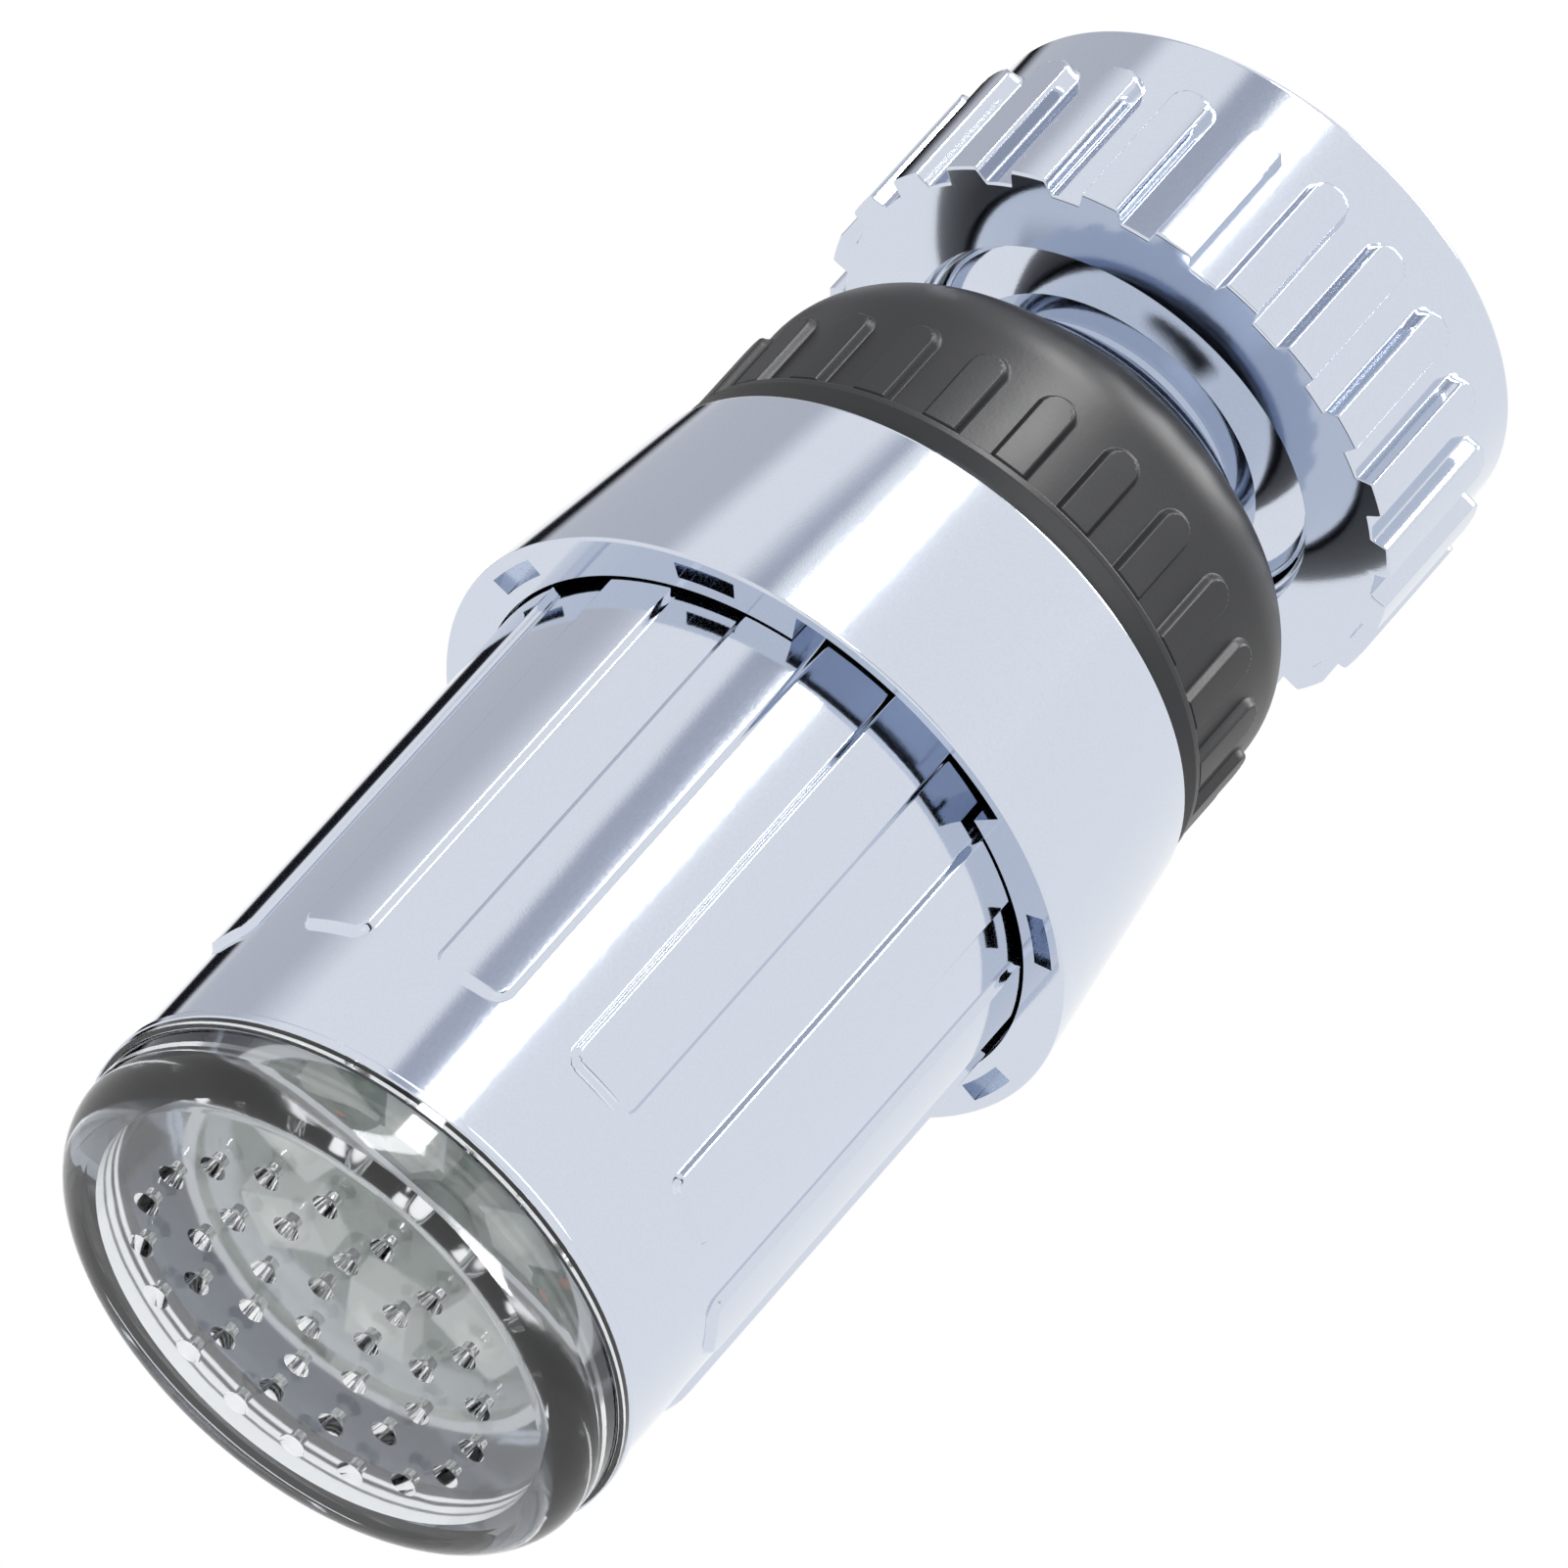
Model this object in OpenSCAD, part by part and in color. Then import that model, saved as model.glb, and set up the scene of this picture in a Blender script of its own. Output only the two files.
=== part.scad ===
// Tap light that swivels on a ball joint and makes its own current from the flowing water.
// Upright: the clear outlet face lies on z = 0 and the tap thread opens at the top.
// Every length is in millimetres.

/* [Outlet cap] */
// width of the rounded edge round the flat front of the clear cap
face_edge = 1.7; // [1.2:0.1:2.2]
// height of the clear cap below its flange
cap_h = 3.1; // [2.6:0.1:4]
// thickness of the spray face
face_t = 1.6; // [1.2:0.1:2]
// radius of a spray hole at the front
crater_r = 0.6; // [0.45:0.05:0.7]
// radius of a spray hole at the back
jet_out_r = 0.35; // [0.25:0.05:0.4]
// distance from the outermost ring of spray holes to the rounded edge
spray_edge = 2.9; // [1.6:0.1:3.5]

/* [Barrel] */
// outside radius of the plain barrel
barrel_r = 12.7; // [11.4:0.05:14]
// wall of the barrel
barrel_wall = 1.0; // [0.9:0.05:1.1]
// length of barrel between the cap and the shell
barrel_show = 27.6; // [26.5:0.1:30]
// number of flat ribs round the barrel
rib_n = 12; // [8:1:16]
// width of a flat rib, degrees
rib_deg = 15; // [8:1:20]
// plain band below the ribs
rib_start = 5.9; // [3:0.1:9]

/* [Upper shell] */
// height of the conical shell
shell_h = 11.2; // [10.8:0.1:12]
// how far the shell's lower rim stands out from the barrel
shell_low_out = 2.3; // [1.8:0.1:3.2]
// how far the shell's upper rim stands out from the barrel
shell_top_out = 0.8; // [0.7:0.05:1.4]
// number of air slots in the lower rim
slot_n = 8; // [4:1:12]
// length of an air slot
slot_w = 2.8; // [1.6:0.1:4]
// span of the long slot as a share of the angle between two air slots
long_slot_share = 1.02; // [0.6:0.02:1.1]

/* [Retaining ring] */
// height of the black ring
ring_h = 10.3; // [9.8:0.1:11]
// how far the black ring stands out from the barrel's radius between its grip ribs
ring_out = 0.06; // [0:0.01:0.3]
// rounding of the ring's shoulder
ring_round = 3.6; // [3:0.1:3.8]
// number of grip ribs on the black ring
grip_n = 24; // [12:1:30]
// width of a grip rib
grip_w = 1.6; // [1:0.1:2]
// height that a grip rib stands out
grip_h = 0.38; // [0.2:0.02:0.5]

/* [Ball joint] */
// wall of the black ring beside the middle of the ball
ring_wall = 1.31; // [1.25:0.01:1.6]
// how far the ring closes in over the ball
ring_grip = 1.6; // [1.3:0.05:1.9]
// radius of the neck above the ball
neck_r = 6.0; // [5.6:0.1:6.4]
// radius of the water way through the ball
way_r = 3.9; // [3.2:0.1:4.2]

/* [Swivel nut] */
// height of the nut
nut_h = 10.25; // [9.8:0.05:12]
// wall of the nut outside the thread's crests
nut_wall = 2.49; // [2.1:0.01:2.8]
// number of ribs round the nut
nut_rib_n = 24; // [12:1:26]
// width of a nut rib
nut_rib_w = 1.8; // [1.2:0.05:2.1]
// height that a nut rib stands out
nut_rib_h = 0.75; // [0.4:0.05:0.9]
// length of the nut ribs
nut_rib_l = 7.3; // [5:0.1:8]
// radius of the tap thread at its crests
thread_r = 10.46; // [9.4:0.02:11.6]

/* [Generator] */
// radius of the dry capsule as a share of the barrel's bore
capsule_share = 0.786; // [0.74:0.002:0.8]
// number of turbine blades
blade_n = 8; // [6:1:12]
// gap round the turbine's blades
turbine_gap = 0.95; // [0.5:0.05:1.5]
// radius of the shaft
shaft_r = 0.75; // [0.6:0.05:0.9]
// radius of the ring magnet as a share of the capsule's
magnet_share = 0.413; // [0.38:0.002:0.43]
// number of lamps on the board
led_n = 6; // [3:1:6]

/* [Hidden] */
$fn = 96;
over = 0.01;        // overrun of a cutting tool
reach = 1;          // longer overrun, where a tool has room
fit = 0.05;         // clearance between pieces that are pushed together
hair = 0.1;         // clearance between neighbours, and lap between joined forms
bite = 0.2;         // how deep a rib starts inside the wall that it stands on
ball_gap = 0.15;    // clearance round the ball

// radii that follow the barrel
cap_r = barrel_r;
face_r = cap_r - face_edge;
shell_low_r = barrel_r + shell_low_out;
shell_top_r = barrel_r + shell_top_out;
ring_r = barrel_r + ring_out;
bore_r = barrel_r - barrel_wall;
push_r = bore_r - fit;

// levels of the outside, from the outlet up
flange_h = 0.4;
flange_out = 0.22;
flange_r = cap_r + flange_out;
z_seam = cap_h + flange_h;
z_shell = z_seam + barrel_show;
z_shell_top = z_shell + shell_h;
ring_gap = 0.3;
z_ring = z_shell_top + ring_gap;
z_ring_top = z_ring + ring_h;
z_round = z_ring_top - ring_round;

// ball and its seat
seat_ball = ring_r - ring_wall;
ball_r = seat_ball - ball_gap;
open_r = seat_ball - ring_grip;
ring_edge = 0.2;
z_lip = z_ring_top - ring_edge;
z_ball = z_lip - sqrt(pow(seat_ball, 2) - pow(open_r, 2));
neck_h = 0.3;
z_neck = z_ball + sqrt(pow(ball_r, 2) - pow(neck_r, 2));
ball_flat_r = 0.434 * ball_r;
z_ball_low = z_ball - sqrt(pow(ball_r, 2) - pow(ball_flat_r, 2));
ball_lead = 2;      // depth of the flared ends of the water way
ball_seal_s = 0.062 * ball_r;
seal_room = 0.08;   // clearance round the ball's seal
seal_angle = 50;    // place of the seal under the ball, degrees from the axis

// spray holes
spray_rings = 3;
spray_in = 0.3;
spray_step = (face_r - spray_edge - spray_in) / spray_rings;
spray_turn = 7;     // turn of each ring of holes against the last, degrees

// sleeve, ledge and collar inside the shell
sleeve_wall = 1.05;
sleeve_in = push_r - sleeve_wall;
ledge_t = 1.2;
ledge_in = 0.774 * sleeve_in;
seat_in = 0.745 * sleeve_in;
z_ledge = z_ball - 0.8 * ball_r;
z_seat_top = z_ball - 0.354 * ball_r;
z_sleeve = z_ledge - ledge_t;
collar_out = 0.25;
collar_r = push_r + collar_out;
collar_h = 3.1;
z_collar = z_shell_top + collar_h;
shell_top_t = 1.3;
shell_edge = 0.15;
z_shell_in = z_shell_top - shell_top_t;
z_barrel = z_shell_in - bite;

// ribs on the barrel, slots in the shell
barrel_rib_h = 0.3;
barrel_lip_out = 0.25;
barrel_lip_h = 0.45;
shell_bore = barrel_r + barrel_rib_h + hair;
shell_bore_h = 3.9;
z_narrow = z_shell + shell_bore_h;
rib_stop = 0.6;     // gap between the ribs' hidden ends and the shell's step
flute_round = 0.7;
rib_w = 2 * barrel_r * sin(rib_deg / 2);
slot_d = 0.8;
slot_deep = 1.2;
long_slot_half = long_slot_share * 180 / slot_n;
long_slot_turn = -94.3;     // middle of the long slot, degrees from +X
long_slot_r = shell_low_r - 0.5;

// black ring
grip_turn = 10.8;   // first grip rib, degrees from +X
grip_stop = 2;      // gap between the grip ribs' ends and the rounded shoulder
foot_h = 1.2;
foot_out = 0.06;    // how far the foot stands out from the grip ribs
foot_r = ring_r + grip_h + foot_out;
foot_under_h = 0.85;    // undercut of the foot, over the shell's top edge
foot_under = 0.6;
ring_bore = collar_r + hair;
bore_stop = 0.3;    // gap over the shell's collar

// seal between sleeve and jet plate
seal_s = 0.5;
seal_c = push_r - seal_s;
z_seal = z_sleeve - seal_s - fit;
z_plate_top = z_seal - seal_s - fit;

// cap spigot and gasket
spigot_h = 3.9;
spigot_top = z_seam + spigot_h;
spigot_wall = 0.95;
spigot_low = 0.5;
gasket_out = 0.55;
gasket_r = bore_r + gasket_out;
gasket_h = 0.5;

// jet plate and skirt
plate_rim = 1.5;
plate_t = 2.0;
z_plate = z_plate_top - plate_rim - plate_t;
skirt_t = 0.9;
skirt_in = push_r - skirt_t;
fin_n = 4;
fin_t = 1.0;
z_fin = spigot_top + hair;
capsule_drop = 2.1; // how far the capsule hangs below its fins
z_capsule = z_fin - capsule_drop;
capsule_h = 17.8;
capsule_top = z_capsule + capsule_h;
jet_n = 6;
jet_r = 0.85;
jet_at = 0.707 * skirt_in;
jet_tilt = 40;

// dry capsule and magnet well
capsule_r = capsule_share * bore_r;
wall = 0.065 * capsule_r;
magnet_r = magnet_share * capsule_r;
well_gap = 0.5;
well_in = magnet_r + well_gap;
well_out = well_in + wall;
well_t = 0.8;
boss_h = 1.9;
boss_r = 2.5;

// levels inside the dry capsule: lamp board below, coil and magnet above
board_t = 1.0;
board_lift = 3.2;
z_board = z_capsule + board_lift;
z_parts = z_board + board_t;
parts_room = 4.3;   // height over the board for its parts and the coil leads
z_core_top = capsule_top - wall - hair;
z_core = z_parts + parts_room;
core_h = z_core_top - z_core;
well_drop = 1.1;
z_well = z_core - well_drop;

// turbine and shaft
turbine_r = skirt_in - turbine_gap;
disc_gap = 1;
disc_t = 0.8;
z_blade = capsule_top + disc_gap + disc_t;
blade_gap = 1.2;
blade_h = z_plate - z_blade - blade_gap;
blade_t = 0.8;
blade_arc = 0.55 * turbine_r;
blade_x = 0.57 * turbine_r;
blade_y = -0.47 * turbine_r;
blade_cut = -0.255 * turbine_r;
hub_r = 0.347 * turbine_r;
disc_r = 0.51 * turbine_r;
spindle_r = 0.5 * magnet_r;
spindle_low = 0.3;
magnet_gap = 0.8;
z_magnet = z_well + magnet_gap;
magnet_h = z_core_top - z_magnet - magnet_gap - hair;
press = 0.02;       // clearance of a press fit
bush_wall = 1.0;
bush_r = shaft_r + bush_wall;
bush_h = 1.6;
bush_fit = 0.05;
z_low_bush = z_well - bush_h + bite;
z_high_bush = z_plate;
z_shaft = z_low_bush + hair;
shaft_top = z_high_bush + bush_h - hair;

// stator and coil
core_in = well_out + hair;
core_out = capsule_r - wall - 2 * hair;
core_t = 0.076 * capsule_r;
claw_n = 6;
claw_l = 0.72 * core_h;
claw_w = 1.6;
bobbin_in = core_in + core_t + hair;
bobbin_out = core_out - core_t - hair;
bobbin_t = 0.054 * capsule_r;
z_bobbin = z_core + core_t + hair;
bobbin_h = core_h - 2 * core_t - 2 * hair;
coil_out = bobbin_out - 2.5 * hair;
lead_r = 0.3;
lead_way_r = 0.7;
lead_at = (bobbin_in + bobbin_out) / 2;
lead_turns = [210, 330];
lead_end = 0.2;

// lamp board
board_r = capsule_r - wall - 3 * hair;
board_hole_r = 1.5;
lamp_at = 0.587 * capsule_r;
lamp_size = [3.5, 2.8, 1.4];
lamp_r = 1.2;
lamp_in_r = 0.9;
lamp_dish = 0.5;
chip_at = 0.495 * capsule_r;
chip_size = [3.9, 4.9, 1.5];
rectifier_size = [3.9, 4.7, 1.6];
can_at = 0.543 * capsule_r;
can_r = 2;
can_h = 1.9;
window_t = 1.5;

// stem, clip and washer above the ball
flare_in = 1.32;
flare_r = thread_r - flare_in;
flare_h = 1.3;
flare_edge = 0.15;
neck_out = 1.2;
stem_gap = 0.15;    // play between nut, flare and clip
z_nut = z_neck + neck_h + stem_gap;
z_nut_top = z_nut + nut_h;
lip_t = 1.6;
lip_r = flare_r + stem_gap;
z_flare = z_neck + neck_h + flare_h;
clip_t = 0.7;
clip_r = thread_r - 0.26;
clip_slit = 3;
groove_d = 0.84;
groove_r = flare_r - groove_d;
z_clip = z_nut + lip_t + stem_gap;
stem_over = 0.7;
z_stem = z_clip + clip_t + stem_over;
washer_t = 1.8;
washer_r = thread_r - 0.06;
washer_w = 4.2;
washer_in = washer_r - washer_w;
relief_d = 0.4;
relief_r = thread_r + relief_d;
z_washer = z_stem + fit;
z_thread = z_washer + washer_t + hair;
nut_edge = 0.3;
thread_lead = 0.4;
nut_r = thread_r + nut_wall;
nut_rib_turn = 6.85; // first nut rib, degrees from +X
nut_rib_edge = 0.15;
mesh_pitch = 1.1;
mesh_hole = 0.75;
mesh_t = 0.3;
mesh_low = 0.7;
mesh_lap = 0.8;
mesh_edge = 0.3;
mesh_n = floor((washer_in - mesh_edge) / mesh_pitch);

// ring-shaped space between two radii and two levels
module tube(r_in, r_out, z_low, z_high) {
    translate([0, 0, z_low]) difference() {
        cylinder(r = r_out, h = z_high - z_low);
        translate([0, 0, -over]) cylinder(r = r_in, h = z_high - z_low + 2 * over);
    }
}

// rectangle in the half plane that is turned about the axis
module box2(r_in, r_out, z_low, z_high) {
    translate([r_in, z_low]) square([r_out - r_in, z_high - z_low]);
}

// length rounded to fiftieths, so that its half is a whole hundredth
function even(x) = round(x * 50) / 50;

// tongue with a round end or two round corners, drawn across x and up along y
module tongue(w_raw, len_raw, round_r) {
    w = even(w_raw);
    len = even(len_raw);
    union() {
        translate([-w / 2, 0]) square([w, len - round_r]);
        if (2 * round_r < w - hair) {
            translate([-w / 2 + round_r, 0]) square([w - 2 * round_r, len]);
            for (side = [-1, 1])
                translate([side * (w / 2 - round_r), len - round_r]) circle(r = round_r, $fn = 32);
        } else {
            translate([0, len - w / 2]) circle(r = w / 2, $fn = 32);
        }
    }
}

// raised pads round a cylinder: tongues pushed out radially between two radii
module pads(count, w, len, round_r, r_in, r_out, z_low, turn = 0) {
    for (i = [0 : count - 1])
        rotate([0, 0, i * 360 / count + turn]) intersection() {
            translate([0, 0, z_low - reach]) difference() {
                cylinder(r = r_out, h = len + 2 * reach);
                translate([0, 0, -reach]) cylinder(r = r_in, h = len + 4 * reach);
            }
            translate([r_in - reach, 0, z_low]) rotate([90, 0, 90])
                linear_extrude(r_out - r_in + 2 * reach) tongue(w, len, round_r);
        }
}

// spray holes: a countersunk mouth on a narrow bore
module spray_hole() {
    translate([0, 0, -over]) cylinder(r1 = crater_r, r2 = jet_out_r, h = face_t / 2, $fn = 24);
    translate([0, 0, -over]) cylinder(r = jet_out_r, h = face_t + 2 * over, $fn = 24);
}

module outlet_cap() {
    color([0.86, 0.88, 0.9, 0.6]) difference() {
        rotate_extrude() difference() {
            union() {
                box2(0, face_r, 0, z_seam);
                intersection() {
                    translate([face_r, cap_r - face_r]) circle(r = cap_r - face_r, $fn = 64);
                    box2(0, cap_r, 0, z_seam);
                }
                box2(0, cap_r, cap_r - face_r, z_seam);
                box2(0, flange_r, cap_h, z_seam);
                box2(0, push_r, spigot_low, spigot_top);
            }
            box2(-over, push_r - spigot_wall, face_t, spigot_top + over);
        }
        spray_hole();
        for (ring = [1 : spray_rings], i = [0 : 6 * ring - 1])
            rotate([0, 0, i * 60 / ring + ring * spray_turn])
                translate([spray_in + ring * spray_step, 0, 0]) spray_hole();
    }
}

module cap_gasket() {
    color([0.08, 0.08, 0.09]) tube(bore_r, gasket_r - hair, z_seam + press, z_seam + gasket_h);
}

module barrel() {
    color([0.8, 0.82, 0.88]) union() {
        rotate_extrude() difference() {
            union() {
                box2(bore_r, barrel_r, z_seam, z_barrel);
                box2(bore_r, barrel_r + barrel_lip_out, z_seam, z_seam + barrel_lip_h);
            }
            box2(bore_r - over, gasket_r, z_seam - over, z_seam + gasket_h + fit);
        }
        // the ribs' round corners point down, so they are made upside down
        translate([0, 0, z_narrow - rib_stop]) rotate([180, 0, 0])
            pads(rib_n, rib_w, z_narrow - z_seam - rib_start - rib_stop, flute_round,
                barrel_r - bite, barrel_r + barrel_rib_h, 0, 0);
    }
}

module upper_shell() {
    color([0.8, 0.82, 0.88]) difference() {
        rotate_extrude() union() {
            // skirt, conical outside and stepped inside
            difference() {
                polygon([[shell_bore - reach, z_shell], [shell_low_r - shell_edge, z_shell],
                    [shell_low_r, z_shell + shell_edge], [shell_top_r, z_shell_top - shell_edge],
                    [shell_top_r - shell_edge, z_shell_top], [sleeve_in, z_shell_top],
                    [sleeve_in, z_shell_in], [shell_bore - reach, z_shell_in]]);
                box2(shell_bore - reach - over, shell_bore, z_shell - over, z_narrow);
                box2(shell_bore - reach - over, barrel_r + fit, z_narrow - over, z_shell_in);
            }
            // collar above and sleeve below the top wall
            difference() {
                box2(sleeve_in, collar_r, z_shell_in, z_collar);
                translate([0, z_ball]) circle(r = seat_ball + fit);
            }
            box2(sleeve_in, push_r, z_sleeve, z_shell_in + over);
            box2(ledge_in, sleeve_in + over, z_sleeve, z_ledge);
        }
        for (i = [0 : slot_n - 1])
            rotate([0, 0, i * 360 / slot_n])
                translate([(shell_bore + shell_low_r) / 2, 0, z_shell + slot_deep / 2 - over])
                    cube([slot_d, slot_w, slot_deep + over], center = true);
        // long slot, open to the bore
        intersection() {
            tube(shell_bore - reach, long_slot_r, z_shell - over, z_shell + slot_deep);
            rotate([0, 0, long_slot_turn]) translate([0, 0, z_shell - reach])
                linear_extrude(slot_deep + 2 * reach)
                    polygon([[0, 0], 2 * shell_low_r * [cos(long_slot_half), -sin(long_slot_half)],
                        2 * shell_low_r * [cos(long_slot_half), sin(long_slot_half)]]);
        }
    }
}

module body_seal() {
    color([0.08, 0.08, 0.09]) rotate_extrude() translate([seal_c, z_seal]) circle(r = seal_s, $fn = 32);
}

module retaining_ring() {
    color([0.16, 0.17, 0.2]) union() {
        rotate_extrude() difference() {
            union() {
                box2(0, ring_r, z_ring, z_round);
                box2(0, ring_r - ring_round, z_round - over, z_ring_top);
                intersection() {
                    translate([ring_r - ring_round, z_round]) circle(r = ring_round);
                    box2(0, ring_r, z_round - over, z_ring_top);
                }
                polygon([[0, z_ring], [foot_r - foot_under, z_ring], [foot_r, z_ring + foot_under_h],
                    [foot_r, z_ring + foot_h], [0, z_ring + foot_h]]);
            }
            box2(-over, ring_bore, z_ring - over, z_collar + bore_stop);
            intersection() {
                translate([0, z_ball]) circle(r = seat_ball);
                box2(-over, seat_ball, z_collar, z_ring_top);
            }
            box2(-over, open_r, z_lip - over, z_ring_top + over);
        }
        pads(grip_n, grip_w, z_round - z_ring - grip_stop, grip_w / 2, ring_r - bite,
            ring_r + grip_h, z_ring + foot_h - 3 * hair, grip_turn);
    }
}

// centre of the O-ring under the ball, at a distance from the ball's centre
function seal_mid(dist) = [dist * sin(seal_angle), z_ball - dist * cos(seal_angle)];

module ball_seal() {
    color([0.08, 0.08, 0.09]) rotate_extrude()
        translate(seal_mid(seat_ball + ball_seal_s)) circle(r = ball_seal_s, $fn = 48);
}

module ball_seat() {
    color([0.9, 0.9, 0.87]) rotate_extrude() difference() {
        box2(seat_in, sleeve_in - fit, z_ledge, z_seat_top);
        translate([0, z_ball]) circle(r = seat_ball);
        translate(seal_mid(seat_ball + ball_seal_s)) circle(r = ball_seal_s + seal_room, $fn = 48);
    }
}

module ball_stem() {
    color([0.8, 0.82, 0.88]) rotate_extrude() difference() {
        union() {
            intersection() {
                translate([0, z_ball]) circle(r = ball_r);
                box2(0, ball_r, z_ball_low, z_neck);
            }
            box2(0, neck_r, z_neck - reach, z_neck + neck_h);
            polygon([[0, z_neck], [neck_r, z_neck + neck_h - over],
                [neck_r + neck_out, z_neck + neck_h + bite],
                [flare_r - flare_edge, z_flare - flare_edge], [flare_r, z_flare],
                [flare_r, z_clip - fit], [groove_r, z_clip - fit], [groove_r, z_clip + clip_t + fit],
                [flare_r, z_clip + clip_t + fit], [flare_r, z_stem], [0, z_stem]]);
        }
        box2(-over, way_r, z_ball_low - over, z_stem + over);
        polygon([[way_r - over, z_ball_low - over], [ball_flat_r - 3 * hair, z_ball_low - over],
            [way_r - over, z_ball_low + ball_lead]]);
        polygon([[way_r - over, z_stem + over], [washer_in - 4 * hair, z_stem + over],
            [way_r - over, z_stem - ball_lead]]);
    }
}

module stem_clip() {
    color([0.7, 0.7, 0.72]) difference() {
        tube(groove_r + fit, clip_r, z_clip, z_clip + clip_t);
        translate([groove_r - reach, -clip_slit / 2, z_clip - reach])
            cube([clip_r - groove_r + 2 * reach, clip_slit, clip_t + 2 * reach]);
    }
}

module inlet_washer() {
    color([0.1, 0.1, 0.1]) difference() {
        tube(washer_in, washer_r, z_washer, z_washer + washer_t);
        tube(washer_in - reach, washer_in + mesh_lap, z_washer + mesh_low,
            z_washer + mesh_low + mesh_t + hair);
    }
}

module filter_screen() {
    color([0.72, 0.73, 0.75]) translate([0, 0, z_washer + mesh_low + fit]) linear_extrude(mesh_t)
        difference() {
            circle(r = washer_in + mesh_lap - hair);
            intersection() {
                circle(r = washer_in - mesh_edge);
                for (ix = [-mesh_n : mesh_n], iy = [-mesh_n : mesh_n])
                    translate([ix * mesh_pitch, iy * mesh_pitch]) square(mesh_hole, center = true);
            }
        }
}

module swivel_nut() {
    color([0.8, 0.82, 0.88]) union() {
        rotate_extrude() difference() {
            union() {
                box2(lip_r, nut_r, z_nut, z_nut_top - nut_edge);
                box2(lip_r, nut_r - nut_edge, z_nut_top - nut_edge - over, z_nut_top);
                intersection() {
                    translate([nut_r - nut_edge, z_nut_top - nut_edge])
                        circle(r = nut_edge, $fn = 32);
                    box2(lip_r, nut_r, z_nut_top - nut_edge, z_nut_top);
                }
            }
            box2(lip_r - over, relief_r, z_nut + lip_t, z_thread);
            box2(lip_r - over, thread_r, z_thread - over, z_nut_top + over);
            polygon([[thread_r - over, z_nut_top - thread_lead],
                [thread_r + thread_lead, z_nut_top + over], [thread_r - over, z_nut_top + over]]);
        }
        pads(nut_rib_n, nut_rib_w, nut_rib_l, nut_rib_w / 2 - nut_rib_edge, nut_r - bite,
            nut_r + nut_rib_h, z_nut, nut_rib_turn);
    }
}

module jet_plate() {
    color([0.25, 0.26, 0.3]) difference() {
        rotate_extrude() union() {
            box2(0, push_r, z_plate, z_plate + plate_t);
            box2(skirt_in, push_r, capsule_top - hair, z_plate + over);
            box2(skirt_in, push_r, z_plate, z_plate_top);
        }
        for (i = [0 : jet_n - 1])
            rotate([0, 0, i * 360 / jet_n]) translate([jet_at, 0, z_plate + plate_t / 2])
                rotate([jet_tilt, 0, 0]) cylinder(r = jet_r, h = 3 * plate_t, center = true, $fn = 32);
        translate([0, 0, z_high_bush - over]) cylinder(r = bush_r + press, h = bush_h + press);
    }
}

module shaft_bushes() {
    color([0.75, 0.6, 0.35]) {
        tube(shaft_r + bush_fit, bush_r, z_low_bush, z_low_bush + bush_h);
        tube(shaft_r + bush_fit, bush_r, z_high_bush, z_high_bush + bush_h);
    }
}

module rotor_shaft() {
    color([0.75, 0.75, 0.77]) translate([0, 0, z_shaft]) cylinder(r = shaft_r, h = shaft_top - z_shaft);
}

module turbine_rotor() {
    color([0.9, 0.9, 0.88]) difference() {
        union() {
            translate([0, 0, z_blade - disc_t]) cylinder(r = hub_r, h = blade_h + disc_t);
            translate([0, 0, z_magnet - spindle_low])
                cylinder(r = spindle_r, h = z_blade - z_magnet + spindle_low);
            translate([0, 0, z_blade - disc_t]) cylinder(r = disc_r, h = disc_t);
            // curved blades: slices of a shell whose axis stands beside the hub
            intersection() {
                tube(hub_r - 2 * bite, turbine_r, z_blade, z_blade + blade_h);
                for (i = [0 : blade_n - 1])
                    rotate([0, 0, i * 360 / blade_n]) difference() {
                        translate([blade_x, blade_y, 0])
                            tube(blade_arc - blade_t, blade_arc, z_blade, z_blade + blade_h);
                        translate([0, blade_cut - turbine_r, z_blade - reach])
                            cube([2 * turbine_r, turbine_r, blade_h + 2 * reach]);
                    }
            }
        }
        translate([0, 0, z_magnet - reach])
            cylinder(r = shaft_r + over, h = z_blade + blade_h - z_magnet + 2 * reach);
    }
}

module rotor_magnet() {
    color([0.2, 0.2, 0.22]) tube(spindle_r + press, magnet_r, z_magnet, z_magnet + magnet_h);
}

module generator_housing() {
    color([0.88, 0.88, 0.86]) difference() {
        union() {
            tube(capsule_r - wall, capsule_r, z_capsule, capsule_top);
            tube(well_in, capsule_r, capsule_top - wall, capsule_top);
            tube(well_in, well_out, z_well - well_t, capsule_top);
            translate([0, 0, z_well - well_t]) cylinder(r = well_out, h = well_t);
            translate([0, 0, z_well - boss_h]) cylinder(r = boss_r, h = boss_h);
            // fins that centre the capsule in the barrel
            for (i = [0 : fin_n - 1])
                rotate([0, 0, i * 360 / fin_n + 45]) intersection() {
                    translate([capsule_r - wall / 2, -fin_t / 2, z_fin])
                        cube([push_r - capsule_r + reach, fin_t, capsule_top - bite - z_fin]);
                    cylinder(r = push_r, h = capsule_top);
                }
        }
        translate([0, 0, z_low_bush - press]) cylinder(r = bush_r + press, h = bush_h + reach);
    }
}

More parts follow.
